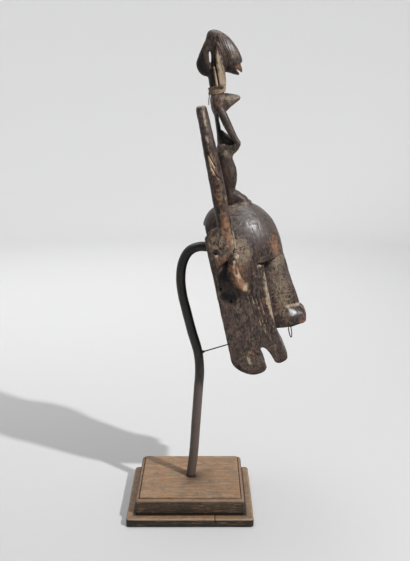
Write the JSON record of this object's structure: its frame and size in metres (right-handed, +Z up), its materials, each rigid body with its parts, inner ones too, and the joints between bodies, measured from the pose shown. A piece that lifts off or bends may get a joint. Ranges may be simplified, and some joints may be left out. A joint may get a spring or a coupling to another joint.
{
  "type": "carved face mask on a stand",
  "caption": "Carved dark wooden face mask with horns and a standing figure on its crown, hollow behind, held by a bent steel rod on a stepped wooden plinth.",
  "frame": {"origin": "centre of the plinth's underside", "axes": "+Z up along the stand, +X the way the mask faces, y = 0 the mask's middle plane"},
  "size_m": [0.2851, 0.187, 0.7529],
  "materials": {
    "carved_wood": "dark handled patina, worn brown at the edges",
    "ring_iron": "rusted wire",
    "string_fibre": "twisted plant fibre",
    "rod_steel": "satin dark brown",
    "plinth_wood": "worn waxed oak"
  },
  "bodies": {
    "root": {"mask": "carved_wood", "nose_ring": "ring_iron", "neck_string": "string_fibre", "support_rod": "rod_steel", "rod_strut": "rod_steel", "plinth_upper": "plinth_wood", "plinth_lower": "plinth_wood"}
  },
  "joints": []
}
